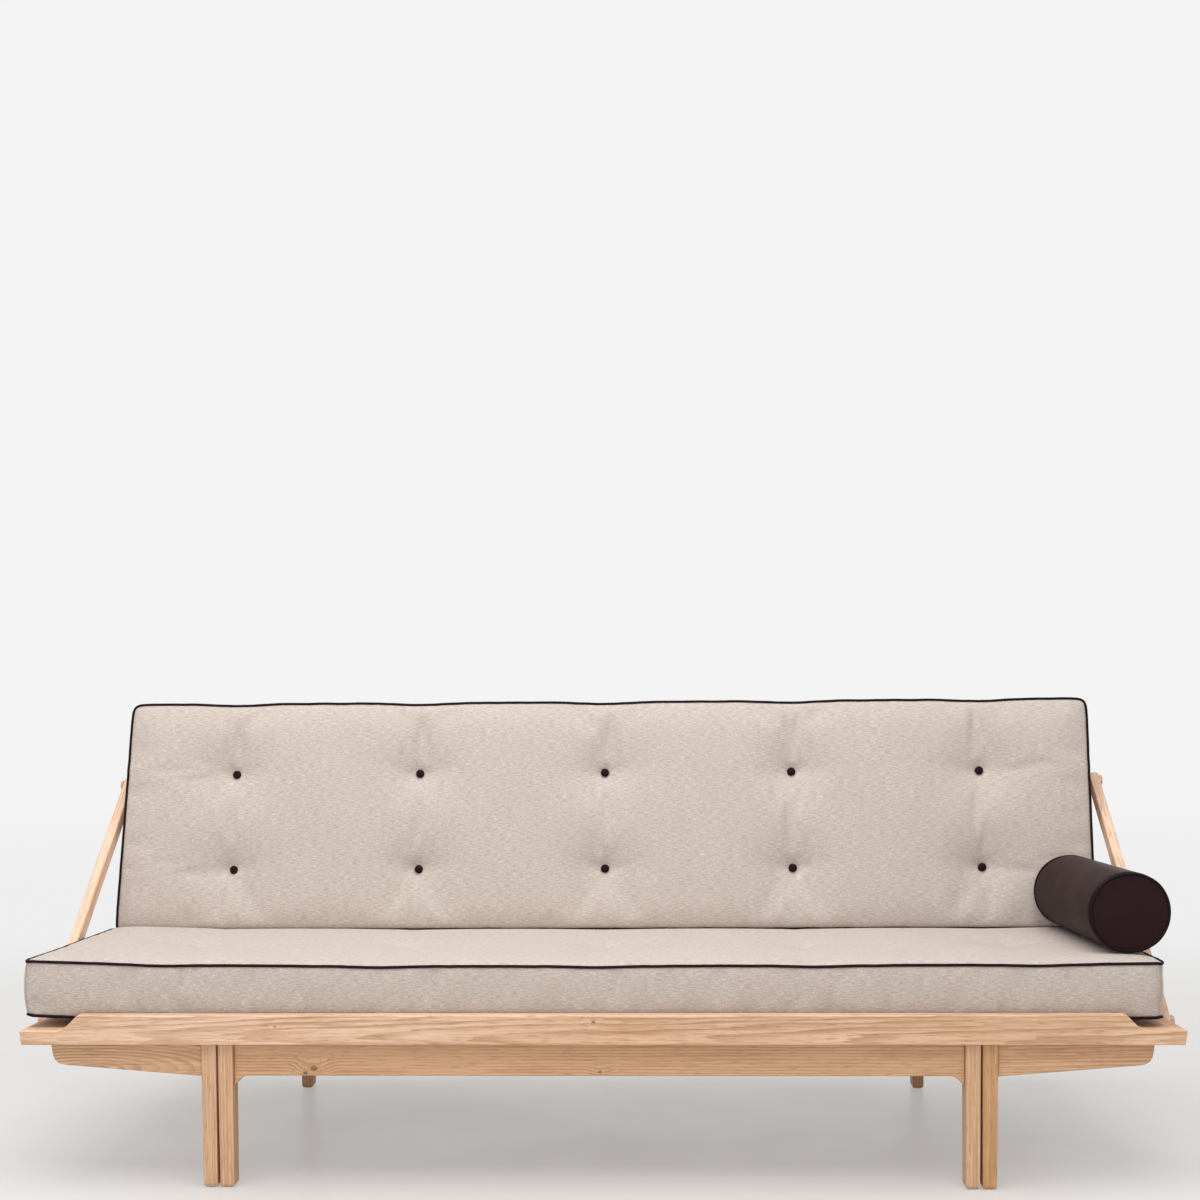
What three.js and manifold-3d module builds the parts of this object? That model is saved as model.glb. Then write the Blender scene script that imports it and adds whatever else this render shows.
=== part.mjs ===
// Oak daybed with a pull-out front frame, a back that swings up on two side arms,
// a loose mattress, a tufted back cushion and a bolster.
// Millimetres. +Z up, +X along the bed, -Y the open front. The origin is on the floor,
// under the middle of the rail frame.

import * as THREE from "three";
import { mergeVertices } from "three/addons/utils/BufferGeometryUtils.js";
import Module from "manifold-3d";

const wasm = await Module();
wasm.setup();

// ---------------------------------------------------------------- driving dimensions

const LENGTH = 2000; // over the ends of the rails
const DEPTH = 840; // front face of the front rail to rear face of the rear rail
const GAP = 0.3; // between pieces that touch
const EDGE = 1.5; // eased edge on timber

const DECK_BOTTOM = 252; // underside of rails, end planks and slats
const DECK_THICK = 24;

const RAIL_THICK = 26;
const RAIL_HEIGHT = 51; // along the middle
const RAIL_END_HEIGHT = DECK_THICK; // lowered ends, flush with the end planks
const RAMP_START = 58; // from the end of the rail to the foot of the ramp
const RAMP_RADIUS = 41; // hollow at the foot of the ramp
const RAMP_ANGLE = THREE.MathUtils.degToRad(45);
const END_UNDERCUT = 3.5; // the ends lean in towards the floor

const LEG_WIDTH = 26; // along the bed
const LEG_DEPTH = 36;
const LEG_TAPER = 2; // narrower at the floor
const LEG_ROUND = 9; // rounded lower corners
const LEG_SETBACK = 10; // behind the face of the rail
const LEG_INSET = 315; // from the end of the rail to the outer face of an outer leg
const LEG_PAIR_GAP = 3; // between an outer leg and the inner leg beside it

const APRON_THICK = 24;
const APRON_HEIGHT = 57;
const APRON_SETBACK = 9; // behind the face of the legs
const HAUNCH = 17; // small corner under the apron, at the legs
const BRACKET_INSET = 50; // from the end of the rail to the tip of a bracket
const BRACKET_TIP_HEIGHT = 36;
const BRACKET_TIP_SLANT = 4;
const BRACKET_ROUND = 20;
const BRACKET_SETBACK = 6;

const PLANK_WIDTH = 90; // end planks, along the bed
const RUNNER_HEIGHT = 39; // lower beams that the pull-out frame slides on
const BEAM_THICK = 24; // cross beams under the slats
const BEAM_OVERHANG = 20; // the front beam reaches this far under each end plank
const FRONT_BEAM_CLEAR = 6; // from the back of the legs to the front beam

const FIXED_SLATS = 6;
const SLIDING_SLATS = FIXED_SLATS + 1;
const SLAT_SPACE = 14; // between neighbouring slats
const SLAT_INSET = 4; // from the front rail to the fixed slats
const SLIDE_OVERLAP = 114; // sliding slats stop this far short of the rear rail
const TIE_WIDTH = 34; // bar that ties the sliding slats

const MATTRESS_THICK = 118;
const MATTRESS_END_INSET = 14; // from the ends of the rails
const MATTRESS_SHIFT = 10; // it lies a little to the left
const MATTRESS_CLEAR = 4; // to the rails
const MATTRESS_CORNER = 20;

const BACK_LEAN = THREE.MathUtils.degToRad(10.6);
const BACK_FOOT_DEPTH = 490; // front lower edge of the back, from the face of the rail
const BACK_CLEAR = 3; // over the mattress
const CUSHION_HEIGHT = 459;
const CUSHION_THICK = 90;
const CUSHION_END_INSET = 23; // from the ends of the rails
const CUSHION_CORNER = 18;
const CUSHION_EDGE = 7;

const BUTTON_COLUMNS = 5;
const BUTTON_SPACING = 378;
const BUTTON_ROWS = [116, 312]; // up from the foot of the cushion
const BUTTON_RADIUS = 8.5;
const BUTTON_THICK = 6;
const POCKET_DEPTH = 13; // dimple that a button is drawn into
const POCKET_MOUTH = 30;
const POCKET_FLOOR = 11;

const STILE_WIDTH = 38;
const BACK_FRAME_THICK = 30;
const BACK_FRAME_FOOT = 26; // from the foot of the cushion to the foot of the frame
const BACK_FRAME_HEIGHT = 404;
const BACK_RAIL_HEIGHT = 52;
const BACK_SLATS = 4;
const BACK_SLAT_WIDTH = 80;
const BACK_SLAT_THICK = 16;

const ARM_WIDTH = 25;
const ARM_THICK = 18;
const ARM_TAIL = 18; // beyond the upper pivot
const LOWER_PIVOT_DEPTH = 162; // from the face of the rail
const UPPER_PIVOT_RISE = 305; // up from the foot of the cushion
const PIN_RADIUS = 5;
const PIN_CLEAR = 0.4; // around a pin, in the arm and in its seat
const PIN_GRIP = 30; // length of pin inside its seat
const KNOB_RADIUS = 11;
const KNOB_THICK = 8;

const BOLSTER_RADIUS = 71;
const BOLSTER_LENGTH = 395;
const BOLSTER_INSET = 3; // from the end of the rail to the bolster's side
const BOLSTER_BACK_GAP = 2; // to the foot of the back
const BOLSTER_EDGE = 4;

// ---------------------------------------------------------------- places that follow

const FRONT = -DEPTH / 2;
const REAR = DEPTH / 2;
const HALF = LENGTH / 2;
const DECK_TOP = DECK_BOTTOM + DECK_THICK;
const LEG_HEIGHT = DECK_BOTTOM - GAP;
const APRON_BOTTOM = DECK_BOTTOM - APRON_HEIGHT;
const LEG_OUTER_FACE = HALF - LEG_INSET;
const OUTER_LEG = LEG_OUTER_FACE - LEG_WIDTH / 2;
const INNER_LEG = OUTER_LEG - LEG_WIDTH - LEG_PAIR_GAP;
const LEG_LINE = LEG_SETBACK + LEG_DEPTH / 2; // leg centre, in from the rail face
const LEG_BACK = LEG_SETBACK + LEG_DEPTH; // rear face of a front leg, in from the rail face
const PLANK_INNER = HALF - PLANK_WIDTH;
const FRONT_BEAM_NEAR = FRONT + LEG_BACK + FRONT_BEAM_CLEAR;
const RUNNER_TOP = APRON_BOTTOM + RUNNER_HEIGHT;
const SLAT_FIELD = 2 * (PLANK_INNER - SLAT_SPACE);
const SLAT_COUNT = FIXED_SLATS + SLIDING_SLATS;
const SLAT_WIDTH = (SLAT_FIELD - (SLAT_COUNT - 1) * SLAT_SPACE) / SLAT_COUNT;
const SLIDE_REAR = REAR - RAIL_THICK - SLIDE_OVERLAP;
const MATTRESS_TOP = DECK_TOP + GAP + MATTRESS_THICK;
const BACK_FOOT = new THREE.Vector2(FRONT + BACK_FOOT_DEPTH, MATTRESS_TOP + BACK_CLEAR);
const FRAME_NEAR = CUSHION_THICK + GAP; // front of the back frame, behind the cushion face
const FRAME_MIDDLE = FRAME_NEAR + BACK_FRAME_THICK / 2;
const STILE_OUTER = HALF - GAP;
const ARM_FACE = HALF + GAP; // inner face of an arm
const KNOB_FACE = ARM_FACE + ARM_THICK + GAP; // underside of a knob's head
const LOWER_PIVOT = new THREE.Vector2(FRONT + LOWER_PIVOT_DEPTH, DECK_BOTTOM + DECK_THICK / 2);
const UPPER_PIVOT = new THREE.Vector2(
  BACK_FOOT.x + UPPER_PIVOT_RISE * Math.sin(BACK_LEAN) + FRAME_MIDDLE * Math.cos(BACK_LEAN),
  BACK_FOOT.y + UPPER_PIVOT_RISE * Math.cos(BACK_LEAN) - FRAME_MIDDLE * Math.sin(BACK_LEAN),
);
const SIDES = { left: -1, right: 1 };

// ---------------------------------------------------------------- materials

function material(colour, roughness) {
  return new THREE.MeshStandardMaterial({ color: colour, roughness, metalness: 0 });
}

const OAK = material(0xdcb68f, 0.55);
const OAK_DARK = material(0xbf966c, 0.55);
const LINEN = material(0xd0c0b2, 0.95);
const LEATHER = material(0x3b2c2a, 0.45);

// ---------------------------------------------------------------- shapes and solids

// Where an outline's x, its y and the thickness point.
const PLANES = {
  front: new THREE.Matrix4().makeBasis(
    new THREE.Vector3(1, 0, 0), new THREE.Vector3(0, 0, 1), new THREE.Vector3(0, -1, 0)),
  side: new THREE.Matrix4().makeBasis(
    new THREE.Vector3(0, 1, 0), new THREE.Vector3(0, 0, 1), new THREE.Vector3(1, 0, 0)),
  plan: new THREE.Matrix4(),
};

// A closed outline through corners [x, y, round], each round one eased by a curve.
function outline(corners) {
  const shape = new THREE.Shape();
  corners.forEach(([x, y, round = 0], i) => {
    const here = new THREE.Vector2(x, y);
    const toward = ([px, py]) => new THREE.Vector2(px, py).sub(here).setLength(round).add(here);
    const start = round ? toward(corners.at(i - 1)) : here;
    if (i) shape.lineTo(start.x, start.y);
    else shape.moveTo(start.x, start.y);
    if (round) {
      const end = toward(corners[(i + 1) % corners.length]);
      shape.quadraticCurveTo(x, y, end.x, end.y);
    }
  });
  shape.closePath();
  return shape;
}

function rectangle(width, height, round = 0) {
  const x = width / 2;
  const y = height / 2;
  return outline([[-x, -y, round], [x, -y, round], [x, y, round], [-x, y, round]]);
}

// An outline given a thickness, centred on it, with both faces' edges eased.
function extrude(shape, thickness, plane, ease = EDGE, curveSegments = 5) {
  const geometry = new THREE.ExtrudeGeometry(shape, {
    depth: thickness - 2 * ease,
    bevelEnabled: ease > 0,
    bevelThickness: ease,
    bevelSize: ease,
    bevelOffset: -ease,
    bevelSegments: 1,
    curveSegments,
  });
  geometry.translate(0, 0, ease - thickness / 2);
  return geometry.applyMatrix4(PLANES[plane]);
}

// A cylinder along X, for pins and their holes.
function rod(radius, length, sides = 24) {
  return new THREE.CylinderGeometry(radius, radius, length, sides).rotateZ(Math.PI / 2);
}

function toSolid(geometry) {
  const bare = geometry.clone();
  bare.deleteAttribute("normal");
  bare.deleteAttribute("uv");
  const welded = mergeVertices(bare, 1e-4);
  return new wasm.Manifold(new wasm.Mesh({
    numProp: 3,
    vertProperties: new Float32Array(welded.attributes.position.array),
    triVerts: new Uint32Array(welded.index.array),
  }));
}

function toGeometry(solid) {
  const { vertProperties, triVerts } = solid.getMesh();
  const geometry = new THREE.BufferGeometry();
  geometry.setAttribute("position", new THREE.BufferAttribute(vertProperties, 3));
  geometry.setIndex(new THREE.BufferAttribute(triVerts, 1));
  return geometry;
}

function cut(geometry, tools) {
  const holes = tools.map(toSolid);
  return toGeometry(holes.reduce((left, hole) => left.subtract(hole), toSolid(geometry)));
}

function piece(name, geometry, look) {
  const mesh = new THREE.Mesh(geometry, look);
  mesh.name = name;
  return mesh;
}

// A timber bar between two opposite corners, all its edges eased.
function bar(name, [x0, x1], [y0, y1], [z0, z1], look = OAK, ease = EDGE) {
  const shape = rectangle(x1 - x0, y1 - y0, ease);
  const geometry = extrude(shape, z1 - z0, "plan", ease, 1);
  geometry.translate((x0 + x1) / 2, (y0 + y1) / 2, (z0 + z1) / 2);
  return piece(name, geometry, look);
}

function sideName(base, side) {
  return base + "_" + side;
}

// ---------------------------------------------------------------- base

// Long rail seen from the front: lowered ends that rise on a hollow ramp.
function railGeometry() {
  const rampDrop = RAMP_RADIUS * (1 - Math.cos(RAMP_ANGLE));
  const rampRun = RAMP_RADIUS * Math.sin(RAMP_ANGLE);
  const slopeRun = (RAIL_HEIGHT - RAIL_END_HEIGHT - rampDrop) / Math.tan(RAMP_ANGLE);
  const rampFoot = HALF - RAMP_START;
  const rampTop = rampFoot - rampRun - slopeRun;
  const centre = RAIL_END_HEIGHT + RAMP_RADIUS;
  const down = -Math.PI / 2;
  const shape = new THREE.Shape();
  shape.moveTo(-HALF + END_UNDERCUT, 0);
  shape.lineTo(HALF - END_UNDERCUT, 0);
  shape.lineTo(HALF, RAIL_END_HEIGHT);
  shape.absarc(rampFoot, centre, RAMP_RADIUS, down, down - RAMP_ANGLE, true);
  shape.lineTo(rampTop, RAIL_HEIGHT);
  shape.lineTo(-rampTop, RAIL_HEIGHT);
  shape.absarc(-rampFoot, centre, RAMP_RADIUS, down + RAMP_ANGLE, down, true);
  shape.lineTo(-HALF, RAIL_END_HEIGHT);
  shape.closePath();
  return extrude(shape, RAIL_THICK, "front");
}

function rail(name, y) {
  const mesh = piece(name, railGeometry(), OAK);
  mesh.position.set(0, y, DECK_BOTTOM);
  return mesh;
}

function legOutline(width) {
  const top = width / 2;
  const foot = top - LEG_TAPER / 2;
  return outline([
    [-foot, 0, LEG_ROUND], [foot, 0, LEG_ROUND], [top, LEG_HEIGHT], [-top, LEG_HEIGHT],
  ]);
}

// A leg's two outlines, crossed.
function leg(name, x, y) {
  const front = toSolid(extrude(legOutline(LEG_WIDTH), LEG_DEPTH, "front", EDGE));
  const side = toSolid(extrude(legOutline(LEG_DEPTH), LEG_WIDTH, "side", 0));
  const mesh = piece(name, toGeometry(front.intersect(side)), OAK);
  mesh.position.set(x, y, 0);
  return mesh;
}

// Apron seen from the front, its lower edge at the legs thickened by small haunches.
function apron(name, halfLength, y) {
  const shape = outline([
    [-halfLength, -APRON_HEIGHT - HAUNCH],
    [-halfLength + HAUNCH, -APRON_HEIGHT, HAUNCH / 2],
    [halfLength - HAUNCH, -APRON_HEIGHT, HAUNCH / 2],
    [halfLength, -APRON_HEIGHT - HAUNCH],
    [halfLength, 0],
    [-halfLength, 0],
  ]);
  const mesh = piece(name, extrude(shape, APRON_THICK, "front"), OAK_DARK);
  mesh.position.set(0, y, LEG_HEIGHT);
  return mesh;
}

// Bracket that carries the end of the bed outside a leg, tapering outwards.
function bracket(name, side, y) {
  const start = LEG_OUTER_FACE + GAP;
  const shape = outline([
    [start, 0],
    [start, -APRON_HEIGHT],
    [HALF - BRACKET_INSET - BRACKET_TIP_SLANT, -BRACKET_TIP_HEIGHT, BRACKET_ROUND],
    [HALF - BRACKET_INSET, 0],
  ]);
  const geometry = extrude(shape, APRON_THICK, "front");
  if (side < 0) geometry.rotateZ(Math.PI);
  const mesh = piece(name, geometry, OAK_DARK);
  mesh.position.set(0, y, LEG_HEIGHT);
  return mesh;
}

// End plank, its outer face leaning in like the ends of the rails, bored for the arm's pivot.
function endPlank(name, side) {
  const length = DEPTH - 2 * (RAIL_THICK + GAP);
  const shape = outline([
    [PLANK_INNER, 0], [HALF - END_UNDERCUT, 0], [HALF, DECK_THICK], [PLANK_INNER, DECK_THICK],
  ]);
  const plank = extrude(shape, length, "front");
  const bore = rod(PIN_RADIUS + PIN_CLEAR, 2 * (PIN_GRIP + 2 * PIN_CLEAR));
  bore.translate(HALF, LOWER_PIVOT.x, DECK_THICK / 2);
  const geometry = cut(plank, [bore]);
  if (side < 0) geometry.applyMatrix4(new THREE.Matrix4().makeScale(-1, 1, 1));
  if (side < 0) flipFaces(geometry);
  const mesh = piece(name, geometry, OAK);
  mesh.position.set(0, 0, DECK_BOTTOM);
  return mesh;
}

// Turns a mirrored geometry's faces outwards again.
function flipFaces(geometry) {
  const order = geometry.index.array;
  for (let i = 0; i < order.length; i += 3) {
    const first = order[i];
    order[i] = order[i + 1];
    order[i + 1] = first;
  }
}

// Headed pivot pin: a turned knob outside the arm, its shank through the arm into the seat.
function pivotPin(name, side, pivot) {
  const shank = KNOB_FACE - (HALF - PIN_GRIP);
  const crown = KNOB_THICK * 0.35;
  const profile = [
    [0, -shank], [PIN_RADIUS, -shank], [PIN_RADIUS, 0], [KNOB_RADIUS - 1, 0],
    [KNOB_RADIUS, 1], [KNOB_RADIUS, KNOB_THICK - crown],
    [KNOB_RADIUS * 0.82, KNOB_THICK - crown * 0.35], [KNOB_RADIUS * 0.45, KNOB_THICK],
    [0, KNOB_THICK],
  ];
  const points = profile.map(([x, y]) => new THREE.Vector2(x, y));
  const geometry = new THREE.LatheGeometry(points, 24).rotateZ((-side * Math.PI) / 2);
  const mesh = piece(name, geometry, OAK);
  mesh.position.set(side * KNOB_FACE, pivot.x, pivot.y);
  return mesh;
}

function base() {
  const group = new THREE.Group();
  const apronLine = LEG_SETBACK + APRON_SETBACK + APRON_THICK / 2;
  const bracketLine = LEG_SETBACK + BRACKET_SETBACK + APRON_THICK / 2;
  const beamEnd = PLANK_INNER + BEAM_OVERHANG;
  for (const [word, side] of Object.entries(SIDES)) {
    const runner = [side * OUTER_LEG - LEG_WIDTH / 2, side * OUTER_LEG + LEG_WIDTH / 2];
    group.add(
      leg(sideName("outer_leg", word), side * OUTER_LEG, FRONT + LEG_LINE),
      leg(sideName("rear_leg", word), side * OUTER_LEG, REAR - LEG_LINE),
      bracket(sideName("front_bracket", word), side, FRONT + bracketLine),
      bracket(sideName("rear_bracket", word), side, REAR - bracketLine),
      bar(sideName("runner", word), runner,
        [FRONT + LEG_BACK + GAP, REAR - LEG_BACK - GAP], [APRON_BOTTOM, RUNNER_TOP]),
      endPlank(sideName("end_plank", word), side),
      pivotPin(sideName("base_pivot", word), side, LOWER_PIVOT),
    );
  }
  group.add(
    rail("rear_rail", REAR - RAIL_THICK / 2),
    apron("rear_apron", OUTER_LEG - LEG_WIDTH / 2 - GAP, REAR - apronLine),
    bar("front_beam", [-beamEnd, beamEnd], [FRONT_BEAM_NEAR, FRONT_BEAM_NEAR + BEAM_THICK],
      [RUNNER_TOP + GAP, LEG_HEIGHT]),
  );
  return group;
}

// ---------------------------------------------------------------- slats

// Left edge of each slat; fixed and sliding ones take turns, with a sliding one at each end.
function slatEdge(index) {
  return -SLAT_FIELD / 2 + index * (SLAT_WIDTH + SLAT_SPACE);
}

function slats(base, count, firstIndex, [y0, y1]) {
  const made = [];
  for (let i = 0; i < count; i++) {
    const x = slatEdge(firstIndex + 2 * i);
    made.push(bar(base + "_" + (i + 1), [x, x + SLAT_WIDTH], [y0, y1], [DECK_BOTTOM, DECK_TOP]));
  }
  return made;
}

function fixedSlats() {
  const rows = [FRONT + RAIL_THICK + SLAT_INSET, REAR - RAIL_THICK - GAP];
  return slats("fixed_slat", FIXED_SLATS, 1, rows);
}

// ---------------------------------------------------------------- pull-out front frame

function frontFrame() {
  const group = new THREE.Group();
  const innerFace = INNER_LEG - LEG_WIDTH / 2;
  const apronLine = LEG_SETBACK + APRON_SETBACK + APRON_THICK / 2;
  for (const [word, side] of Object.entries(SIDES))
    group.add(leg(sideName("inner_leg", word), side * INNER_LEG, FRONT + LEG_LINE));
  group.add(
    rail("front_rail", FRONT + RAIL_THICK / 2),
    apron("centre_apron", innerFace - GAP, FRONT + apronLine),
    bar("tie_bar", [-PLANK_INNER + SLAT_SPACE, PLANK_INNER - SLAT_SPACE],
      [SLIDE_REAR - TIE_WIDTH, SLIDE_REAR], [RUNNER_TOP + GAP, LEG_HEIGHT]),
    ...slats("sliding_slat", SLIDING_SLATS, 0, [FRONT + RAIL_THICK + GAP, SLIDE_REAR]),
  );
  return group;
}

// ---------------------------------------------------------------- mattress and bolster

function mattress() {
  const width = LENGTH - 2 * MATTRESS_END_INSET;
  const depth = DEPTH - 2 * (RAIL_THICK + MATTRESS_CLEAR);
  const shape = rectangle(width, depth, MATTRESS_CORNER);
  const mesh = piece("mattress", extrude(shape, MATTRESS_THICK, "plan", CUSHION_EDGE), LINEN);
  mesh.position.set(-MATTRESS_SHIFT, 0, MATTRESS_TOP - MATTRESS_THICK / 2);
  return mesh;
}

function bolster() {
  const half = BOLSTER_LENGTH / 2;
  const profile = [
    [0, -half], [BOLSTER_RADIUS - BOLSTER_EDGE, -half], [BOLSTER_RADIUS, -half + BOLSTER_EDGE],
    [BOLSTER_RADIUS, half - BOLSTER_EDGE], [BOLSTER_RADIUS - BOLSTER_EDGE, half], [0, half],
  ];
  const points = profile.map(([x, y]) => new THREE.Vector2(x, y));
  const mesh = piece("bolster", new THREE.LatheGeometry(points, 40), LEATHER);
  const y = BACK_FOOT.x - BOLSTER_BACK_GAP - half;
  const x = HALF - BOLSTER_INSET - BOLSTER_RADIUS;
  mesh.position.set(x, y, MATTRESS_TOP + GAP + BOLSTER_RADIUS);
  return mesh;
}

// ---------------------------------------------------------------- back

// All of the back is built upright, its cushion's face at y = 0 and its foot at z = 0.

function buttonPlaces() {
  const places = [];
  for (const height of BUTTON_ROWS)
    for (let i = 0; i < BUTTON_COLUMNS; i++)
      places.push([(i - (BUTTON_COLUMNS - 1) / 2) * BUTTON_SPACING, height]);
  return places;
}

// Hollow that a button is drawn into, its mouth on the cushion's face.
function pocket([x, z]) {
  const points = [
    [0, -POCKET_DEPTH], [POCKET_FLOOR, -POCKET_DEPTH], [POCKET_MOUTH, 0],
    [POCKET_MOUTH, POCKET_DEPTH], [0, POCKET_DEPTH],
  ].map(([px, py]) => new THREE.Vector2(px, py));
  return new THREE.LatheGeometry(points, 20).rotateX(Math.PI).translate(x, 0, z);
}

// Takes off all of the cushion that lies lower than its front lower edge.
function levelFoot() {
  const size = 2 * CUSHION_THICK;
  const tool = new THREE.BoxGeometry(LENGTH, 2 * size, size);
  return tool.translate(0, 0, -size / 2).rotateX(BACK_LEAN);
}

function backCushion() {
  const half = HALF - CUSHION_END_INSET;
  const shape = outline([
    [-half, 0], [half, 0],
    [half, CUSHION_HEIGHT, CUSHION_CORNER], [-half, CUSHION_HEIGHT, CUSHION_CORNER],
  ]);
  const block = extrude(shape, CUSHION_THICK, "front", CUSHION_EDGE);
  block.translate(0, CUSHION_THICK / 2, 0);
  return piece("back_cushion", cut(block, [levelFoot(), ...buttonPlaces().map(pocket)]), LINEN);
}

// Low domed button, resting in its pocket.
function tuftButton(name, [x, z]) {
  const rim = BUTTON_THICK / 2;
  const points = [
    [0, 0], [BUTTON_RADIUS - 1, 0], [BUTTON_RADIUS, 1], [BUTTON_RADIUS, rim],
    [BUTTON_RADIUS * 0.8, BUTTON_THICK * 0.8], [BUTTON_RADIUS * 0.45, BUTTON_THICK * 0.96],
    [0, BUTTON_THICK],
  ].map(([px, py]) => new THREE.Vector2(px, py));
  const geometry = new THREE.LatheGeometry(points, 20).rotateX(Math.PI);
  const mesh = piece(name, geometry, LEATHER);
  mesh.position.set(x, POCKET_DEPTH - GAP, z);
  return mesh;
}

// Upright of the back frame, bored for the arm's upper pivot.
function stile(name, side) {
  const shape = rectangle(STILE_WIDTH, BACK_FRAME_THICK, EDGE);
  const upright = extrude(shape, BACK_FRAME_HEIGHT, "plan", EDGE, 1);
  const centre = side * (STILE_OUTER - STILE_WIDTH / 2);
  upright.translate(centre, FRAME_MIDDLE, BACK_FRAME_FOOT + BACK_FRAME_HEIGHT / 2);
  const bore = rod(PIN_RADIUS + PIN_CLEAR, 2 * (PIN_GRIP + 2 * PIN_CLEAR));
  bore.translate(side * HALF, FRAME_MIDDLE, UPPER_PIVOT_RISE);
  return piece(name, cut(upright, [bore]), OAK);
}

function backFrame() {
  const reach = STILE_OUTER - STILE_WIDTH - GAP;
  const across = [-reach, reach];
  const deep = [FRAME_NEAR, FRAME_NEAR + BACK_FRAME_THICK];
  const top = BACK_FRAME_FOOT + BACK_FRAME_HEIGHT;
  const lowTop = BACK_FRAME_FOOT + BACK_RAIL_HEIGHT;
  const highFoot = top - BACK_RAIL_HEIGHT;
  const pieces = [
    stile("back_stile_left", SIDES.left),
    stile("back_stile_right", SIDES.right),
    bar("back_rail_bottom", across, deep, [BACK_FRAME_FOOT, lowTop]),
    bar("back_rail_top", across, deep, [highFoot, top]),
  ];
  const slatDeep = [FRAME_MIDDLE - BACK_SLAT_THICK / 2, FRAME_MIDDLE + BACK_SLAT_THICK / 2];
  for (let i = 0; i < BACK_SLATS; i++) {
    const x = -reach + ((i + 0.5) * 2 * reach) / BACK_SLATS;
    const wide = [x - BACK_SLAT_WIDTH / 2, x + BACK_SLAT_WIDTH / 2];
    pieces.push(bar("back_slat_" + (i + 1), wide, slatDeep, [lowTop + GAP, highFoot - GAP]));
  }
  return pieces;
}

function back() {
  const leaning = new THREE.Group();
  leaning.position.set(0, BACK_FOOT.x, BACK_FOOT.y);
  leaning.rotation.x = -BACK_LEAN;
  leaning.add(backCushion(), ...backFrame());
  buttonPlaces().forEach((place, i) => leaning.add(tuftButton("tuft_button_" + (i + 1), place)));
  const group = new THREE.Group();
  group.add(leaning);
  for (const [word, side] of Object.entries(SIDES))
    group.add(pivotPin(sideName("back_pivot", word), side, UPPER_PIVOT));
  return group;
}

// ---------------------------------------------------------------- side arms

// Straight bar from the lower pivot to past the upper one, drawn lying along +Y.
function arm(name, side) {
  const span = UPPER_PIVOT.distanceTo(LOWER_PIVOT);
  const end = ARM_WIDTH / 2;
  const shape = new THREE.Shape();
  shape.absarc(0, 0, end, Math.PI / 2, (3 * Math.PI) / 2, false);
  shape.absarc(span + ARM_TAIL - end, 0, end, -Math.PI / 2, Math.PI / 2, false);
  shape.closePath();
  const blank = extrude(shape, ARM_THICK, "side", EDGE, 10);
  const holes = [0, span].map((y) => rod(PIN_RADIUS + PIN_CLEAR, 2 * ARM_THICK).translate(0, y, 0));
  const mesh = piece(name, cut(blank, holes), OAK);
  const rise = UPPER_PIVOT.clone().sub(LOWER_PIVOT);
  mesh.rotation.x = Math.atan2(rise.y, rise.x);
  mesh.position.set(side * (ARM_FACE + ARM_THICK / 2), LOWER_PIVOT.x, LOWER_PIVOT.y);
  return mesh;
}

// ---------------------------------------------------------------- daybed

const daybed = new THREE.Group();
daybed.add(
  base(),
  ...fixedSlats(),
  frontFrame(),
  mattress(),
  arm("arm_left", SIDES.left),
  arm("arm_right", SIDES.right),
  back(),
  bolster(),
);

export default daybed;
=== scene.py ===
"""Extending daybed: oak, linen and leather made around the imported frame.

Units are metres in the frame's own axes: X along the bed, -Y towards the sitter, Z up.
"""

import math

import bpy
import numpy as np
from mathutils import Euler, Matrix, Vector


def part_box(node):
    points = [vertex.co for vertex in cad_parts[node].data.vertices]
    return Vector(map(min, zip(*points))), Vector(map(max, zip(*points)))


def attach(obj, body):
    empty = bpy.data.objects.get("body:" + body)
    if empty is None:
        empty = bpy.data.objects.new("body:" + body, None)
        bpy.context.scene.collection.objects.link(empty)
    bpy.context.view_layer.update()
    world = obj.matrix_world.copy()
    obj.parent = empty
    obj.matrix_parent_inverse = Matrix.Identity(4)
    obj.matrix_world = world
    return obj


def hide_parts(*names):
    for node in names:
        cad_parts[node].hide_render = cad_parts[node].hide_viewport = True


bl_info = {
    "name": "Extending daybed",
    "version": (1, 0, 0),
    "blender": (4, 5, 0),
    "location": "View3D > Sidebar > Daybed",
    "description": "Finishes a tufted daybed in oak, linen and leather around its frame",
    "category": "Object",
}

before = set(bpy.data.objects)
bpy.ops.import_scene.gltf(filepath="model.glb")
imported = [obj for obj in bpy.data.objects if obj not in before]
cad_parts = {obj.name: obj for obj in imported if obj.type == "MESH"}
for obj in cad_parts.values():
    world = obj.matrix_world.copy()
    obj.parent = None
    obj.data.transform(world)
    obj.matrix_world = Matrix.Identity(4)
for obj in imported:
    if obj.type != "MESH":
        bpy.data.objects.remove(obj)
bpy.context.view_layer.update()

SEED = 1957

# Upholstery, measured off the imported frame.
MATTRESS_LOW, MATTRESS_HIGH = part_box("mattress")
CUSHION_LOW, CUSHION_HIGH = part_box("back_cushion")
BOLSTER_LOW, BOLSTER_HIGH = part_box("bolster")
BUTTON_COLUMNS = 5
BUTTONS = [
    (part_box(f"tuft_button_{n}")[0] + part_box(f"tuft_button_{n}")[1]) / 2
    for n in range(1, 2 * BUTTON_COLUMNS + 1)
]
COLUMN_PLACES = [button.x for button in BUTTONS[:BUTTON_COLUMNS]]
BACK_UP = (BUTTONS[BUTTON_COLUMNS] - BUTTONS[0]).normalized()
BACK_OUT = Vector((0, -BACK_UP.z, BACK_UP.y))
BACK_LEAN = math.atan2(BACK_UP.y, BACK_UP.z)
BUTTON_SINK = 0.0097
CUSHION_THICK = 0.090
CUSHION_HEIGHT = 0.459
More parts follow.
